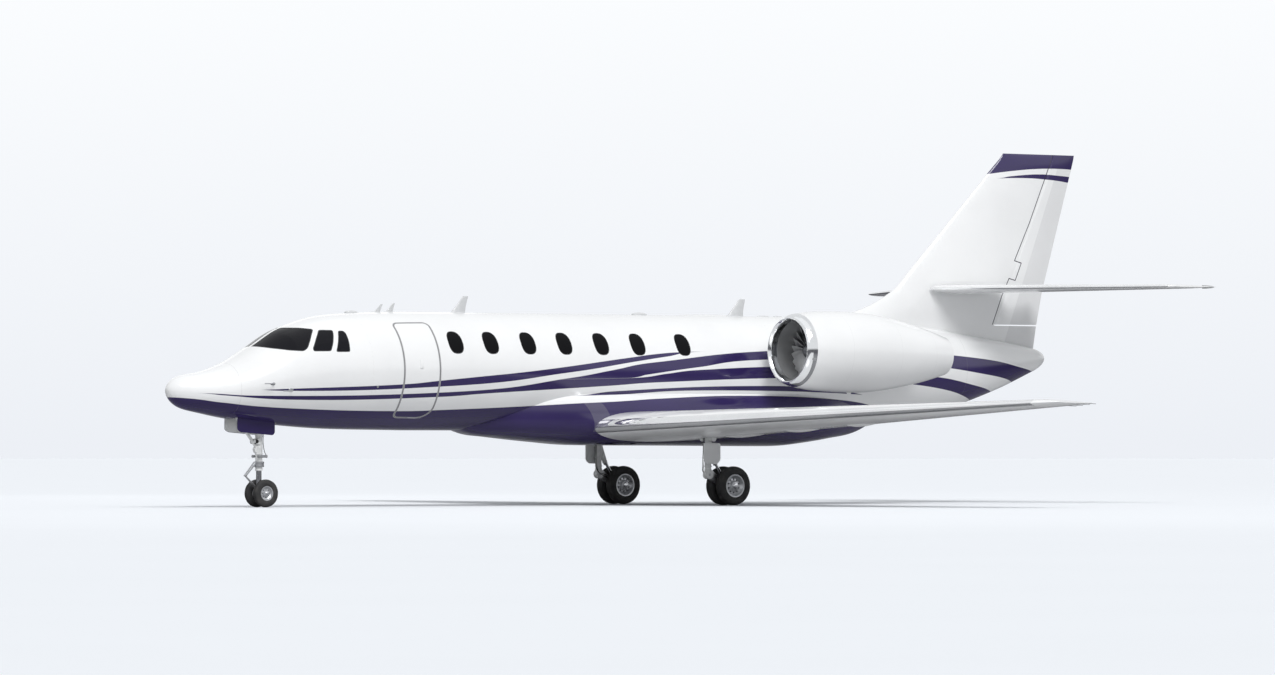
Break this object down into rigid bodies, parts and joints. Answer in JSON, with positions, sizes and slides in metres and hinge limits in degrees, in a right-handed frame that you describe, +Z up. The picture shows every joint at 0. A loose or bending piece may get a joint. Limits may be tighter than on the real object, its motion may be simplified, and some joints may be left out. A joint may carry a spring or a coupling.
{
  "type": "business jet",
  "caption": "Low-wing business jet with rear engines, a cross-shaped tail and an airstair door, parked on its landing gear.",
  "frame": {"origin": "on the floor, below the middle of the aircraft's length and width", "axes": "+X towards the tail, +Y to starboard, +Z up; the nose points along -X"},
  "size_m": [19.37, 19.3, 6.2],
  "materials": {
    "white_paint": "gloss",
    "dark_blue_paint": "gloss",
    "polished_lip": "polished",
    "gear_steel": "satin",
    "wheel_alloy": "satin",
    "engine_metal": "satin",
    "fan_titanium": "satin",
    "tyre_rubber": "matte",
    "tinted_glass": "gloss",
    "carpet": "matte",
    "cream_leather": "satin",
    "panel_plastic": "matte"
  },
  "bodies": {
    "airframe": {"aft_fuselage": "white_paint", "belly_fairing": "dark_blue_paint", "cabin_floor": "carpet", "cabin_fuselage": "white_paint", "cabin_seats": "cream_leather", "forward_fuselage": "white_paint", "instrument_panel": "panel_plastic", "left_engine_core": "engine_metal", "left_front_side_window": "tinted_glass", "left_inlet_lip": "polished_lip", "left_main_gear_door": "white_paint", "left_main_gear_leg": "white_paint", "left_nacelle": "white_paint", "left_nose_gear_door": "white_paint", "left_pylon": "white_paint", "left_rear_side_window": "tinted_glass", "left_trailing_link": "gear_steel", "left_windscreen": "tinted_glass", "left_wing": "white_paint", "nose_cone": "white_paint", "nose_gear_leg": "white_paint", "pilot_seats": "cream_leather", "right_engine_core": "engine_metal", "right_front_side_window": "tinted_glass", "right_inlet_lip": "polished_lip", "right_main_gear_door": "white_paint", "right_main_gear_leg": "white_paint", "right_nacelle": "white_paint", "right_nose_gear_door": "white_paint", "right_pylon": "white_paint", "right_rear_side_window": "tinted_glass", "right_trailing_link": "gear_steel", "right_windscreen": "tinted_glass", "right_wing": "white_paint", "tail_cone": "white_paint", "vertical_fin": "white_paint"},
    "nose_fork": {"nose_gear_fork": "gear_steel"},
    "nose_wheel_pair": {"nose_wheels": "wheel_alloy", "left_nose_tyre": "tyre_rubber", "right_nose_tyre": "tyre_rubber"},
    "entry_door": {"cabin_door": "white_paint"},
    "rudder_body": {"rudder": "white_paint"},
    "tailplane": {"stabiliser": "white_paint"},
    "left_wheel_pair": {"left_main_wheels": "wheel_alloy", "left_inner_main_tyre": "tyre_rubber", "left_outer_main_tyre": "tyre_rubber"},
    "left_flap_body": {"left_flap": "white_paint"},
    "left_aileron_body": {"left_aileron": "white_paint"},
    "left_speed_brake_body": {"left_speed_brake": "white_paint"},
    "left_elevator_body": {"left_elevator": "white_paint"},
    "left_fan_body": {"left_fan": "fan_titanium"},
    "right_wheel_pair": {"right_main_wheels": "wheel_alloy", "right_inner_main_tyre": "tyre_rubber", "right_outer_main_tyre": "tyre_rubber"},
    "right_flap_body": {"right_flap": "white_paint"},
    "right_aileron_body": {"right_aileron": "white_paint"},
    "right_speed_brake_body": {"right_speed_brake": "white_paint"},
    "right_elevator_body": {"right_elevator": "white_paint"},
    "right_fan_body": {"right_fan": "fan_titanium"}
  },
  "joints": [
    {"name": "nose_steering", "type": "hinge", "parent": "airframe", "child": "nose_fork", "pos_m": [-7.885, 0, 0.64], "axis": [0, 0, 1], "range_deg": [-80, 80]},
    {"name": "nose_wheel_spin", "type": "hinge", "parent": "nose_fork", "child": "nose_wheel_pair", "pos_m": [-7.835, 0, 0.2285], "axis": [0, 1, 0], "continuous": true},
    {"name": "left_main_wheel_spin", "type": "hinge", "parent": "airframe", "child": "left_wheel_pair", "pos_m": [0.645, -1.55, 0.33], "axis": [0, 1, 0], "continuous": true},
    {"name": "right_main_wheel_spin", "type": "hinge", "parent": "airframe", "child": "right_wheel_pair", "pos_m": [0.645, 1.55, 0.33], "axis": [0, 1, 0], "continuous": true},
    {"name": "cabin_door_swing", "type": "hinge", "parent": "airframe", "child": "entry_door", "pos_m": [-5.285, -0.6006, 1.4723], "axis": [1, 0, 0], "range_deg": [0, 135]},
    {"name": "left_flap_hinge", "type": "hinge", "parent": "airframe", "child": "left_flap_body", "pos_m": [1.10069, -1.18, 1.28532], "axis": [-0.0542, 0.9973, -0.0485], "range_deg": [0, 35]},
    {"name": "right_flap_hinge", "type": "hinge", "parent": "airframe", "child": "right_flap_body", "pos_m": [1.10069, 1.18, 1.28532], "axis": [0.0542, 0.9973, 0.0485], "range_deg": [0, 35]},
    {"name": "left_aileron_hinge", "type": "hinge", "parent": "airframe", "child": "left_aileron_body", "pos_m": [1.29318, -5.75, 1.5103], "axis": [-0.0625, 0.9969, -0.0485], "range_deg": [-20, 20]},
    {"name": "right_aileron_hinge", "type": "hinge", "parent": "airframe", "child": "right_aileron_body", "pos_m": [1.29318, 5.75, 1.5103], "axis": [0.0625, 0.9969, 0.0485], "range_deg": [-20, 20]},
    {"name": "left_speed_brake_hinge", "type": "hinge", "parent": "airframe", "child": "left_speed_brake_body", "pos_m": [0.71219, -2.3, 1.5109], "axis": [0.0987, -0.9947, 0.0286], "range_deg": [0, 50]},
    {"name": "right_speed_brake_hinge", "type": "hinge", "parent": "airframe", "child": "right_speed_brake_body", "pos_m": [0.71219, 2.3, 1.5109], "axis": [-0.0987, -0.9947, -0.0286], "range_deg": [0, 50]},
    {"name": "rudder_hinge", "type": "hinge", "parent": "airframe", "child": "rudder_body", "pos_m": [7.815, 0, 3.16], "axis": [0.42, 0, 0.9075], "range_deg": [-25, 25]},
    {"name": "tailplane_trim", "type": "hinge", "parent": "airframe", "child": "tailplane", "pos_m": [7.365, 0, 3.77], "axis": [0, 1, 0], "range_deg": [-8, 2]},
    {"name": "left_elevator_hinge", "type": "hinge", "parent": "tailplane", "child": "left_elevator_body", "pos_m": [7.93848, -0.46, 3.77], "axis": [-0.286, 0.9582, 0], "range_deg": [-20, 15]},
    {"name": "right_elevator_hinge", "type": "hinge", "parent": "tailplane", "child": "right_elevator_body", "pos_m": [7.93848, 0.46, 3.77], "axis": [0.286, 0.9582, 0], "range_deg": [-20, 15]},
    {"name": "left_fan_spin", "type": "hinge", "parent": "airframe", "child": "left_fan_body", "pos_m": [2.26485, -1.75, 2.62778], "axis": [0.9997, 0, -0.0244], "continuous": true},
    {"name": "right_fan_spin", "type": "hinge", "parent": "airframe", "child": "right_fan_body", "pos_m": [2.26485, 1.75, 2.62778], "axis": [0.9997, 0, -0.0244], "continuous": true}
  ],
  "couplings": [
    {"joint": "right_flap_hinge", "follows": "left_flap_hinge", "ratio": 1},
    {"joint": "right_aileron_hinge", "follows": "left_aileron_hinge", "ratio": -1},
    {"joint": "right_speed_brake_hinge", "follows": "left_speed_brake_hinge", "ratio": 1},
    {"joint": "right_elevator_hinge", "follows": "left_elevator_hinge", "ratio": 1}
  ]
}
